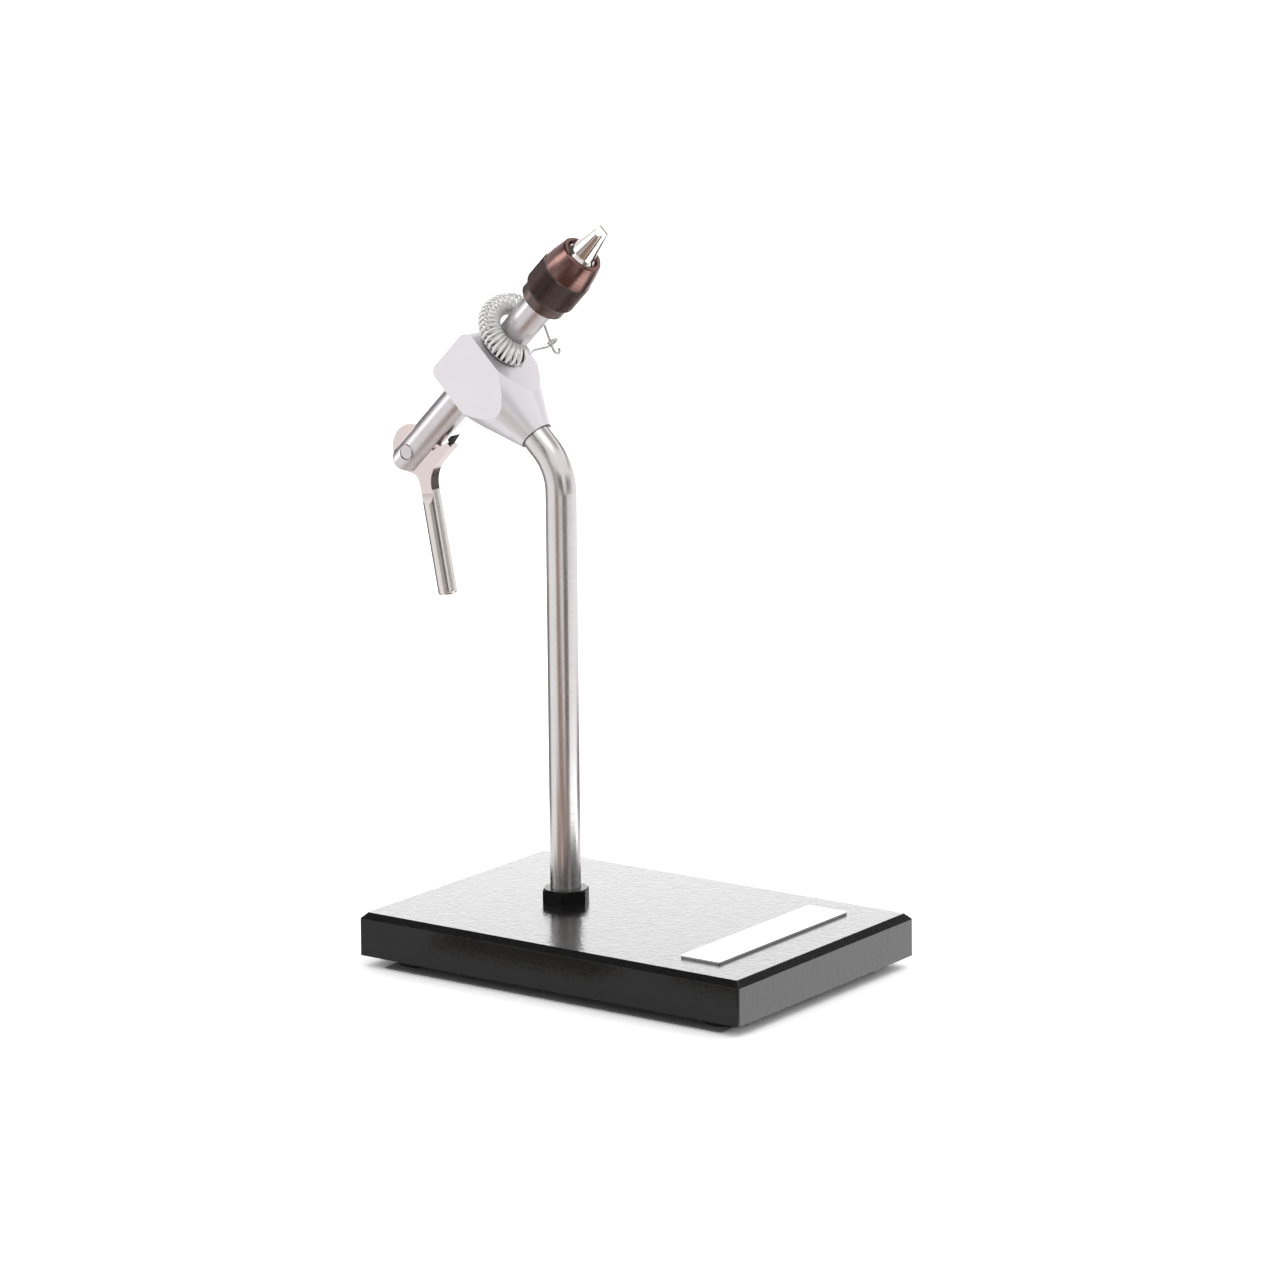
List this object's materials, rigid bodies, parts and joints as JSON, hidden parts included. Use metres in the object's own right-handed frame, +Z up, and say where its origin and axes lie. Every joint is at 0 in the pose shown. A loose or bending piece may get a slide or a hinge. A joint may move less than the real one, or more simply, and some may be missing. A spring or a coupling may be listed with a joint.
{
  "type": "fly tying vise",
  "caption": "Pedestal fly tying vise: heavy plate base, bent post, square-topped head, turning barrel with cam lever, material spring, knurled collar and split hook jaws.",
  "frame": {"origin": "on the table under the middle of the base plate, level with the underside of the feet", "axes": "+Z up; +X along the base plate to the side that the jaws point to; Y across, the vise is symmetrical about y = 0 apart from small pieces"},
  "size_m": [0.1731, 0.1016, 0.2463],
  "materials": {
    "base_coat": "fine textured black powder coat",
    "foot_rubber": "matte black rubber",
    "fixings": "plain zinc steel",
    "strip": "bright satin, bare",
    "post_steel": "satin stainless",
    "nut_black": "black oxide",
    "head_aluminium": "satin machined",
    "bushing_black": "black bearing plastic",
    "barrel_steel": "satin stainless",
    "spring_wire": "bright spring wire",
    "collar_bronze": "dark brown oxide",
    "jaw_steel": "polished hardened steel",
    "lever_steel": "satin stainless",
    "pad_black": "black rubber",
    "nylon": "natural nylon"
  },
  "bodies": {
    "stand": {"base_plate": "base_coat", "rubber_feet": "foot_rubber", "foot_screws": "fixings", "name_plate": "strip", "post": "post_steel", "jam_nut": "nut_black", "head": "head_aluminium", "front_bushing": "bushing_black", "rear_bushing": "bushing_black", "tension_screw": "fixings", "tension_tip": "nylon", "post_screw": "fixings"},
    "barrel": {"barrel": "barrel_steel", "lever_pin": "barrel_steel", "material_spring": "spring_wire"},
    "collar": {"collar": "collar_bronze"},
    "draw": {"draw_bar": "jaw_steel", "follower_pin": "fixings", "jaw_spring": "spring_wire"},
    "jaw_near": {"jaw_near": "jaw_steel"},
    "jaw_far": {"jaw_far": "jaw_steel"},
    "lever": {"cam_lever": "lever_steel", "stop_pad": "pad_black"}
  },
  "joints": [
    {"name": "barrel_turn", "type": "hinge", "parent": "stand", "child": "barrel", "pos_m": [-0.0592, 0, 0.19507], "axis": [0.7009, 0, 0.7133], "continuous": true},
    {"name": "lever_turn", "type": "hinge", "parent": "barrel", "child": "lever", "pos_m": [-0.08864, 0, 0.16511], "axis": [0, 1, 0], "range_deg": [0, 90]},
    {"name": "draw_slide", "type": "slide", "parent": "barrel", "child": "draw", "axis": [0.7009, 0, 0.7133], "range_m": [0, 0.0011]},
    {"name": "jaw_far_open", "type": "hinge", "parent": "draw", "child": "jaw_far", "pos_m": [-0.03291, 0, 0.22182], "axis": [-0.7133, 0, 0.7009], "range_deg": [0, 1.2]},
    {"name": "jaw_near_open", "type": "hinge", "parent": "draw", "child": "jaw_near", "pos_m": [-0.03291, 0, 0.22182], "axis": [0.7133, 0, -0.7009], "range_deg": [0, 1.2]},
    {"name": "collar_turn", "type": "hinge", "parent": "barrel", "child": "collar", "pos_m": [-0.02766, 0, 0.22717], "axis": [0.7009, 0, 0.7133], "range_deg": [-180, 180]}
  ],
  "couplings": [
    {"joint": "draw_slide", "follows": "lever_turn", "m_per_rad": 0.00070028},
    {"joint": "jaw_far_open", "follows": "lever_turn", "ratio": 0.013333},
    {"joint": "jaw_near_open", "follows": "lever_turn", "ratio": 0.013333}
  ]
}
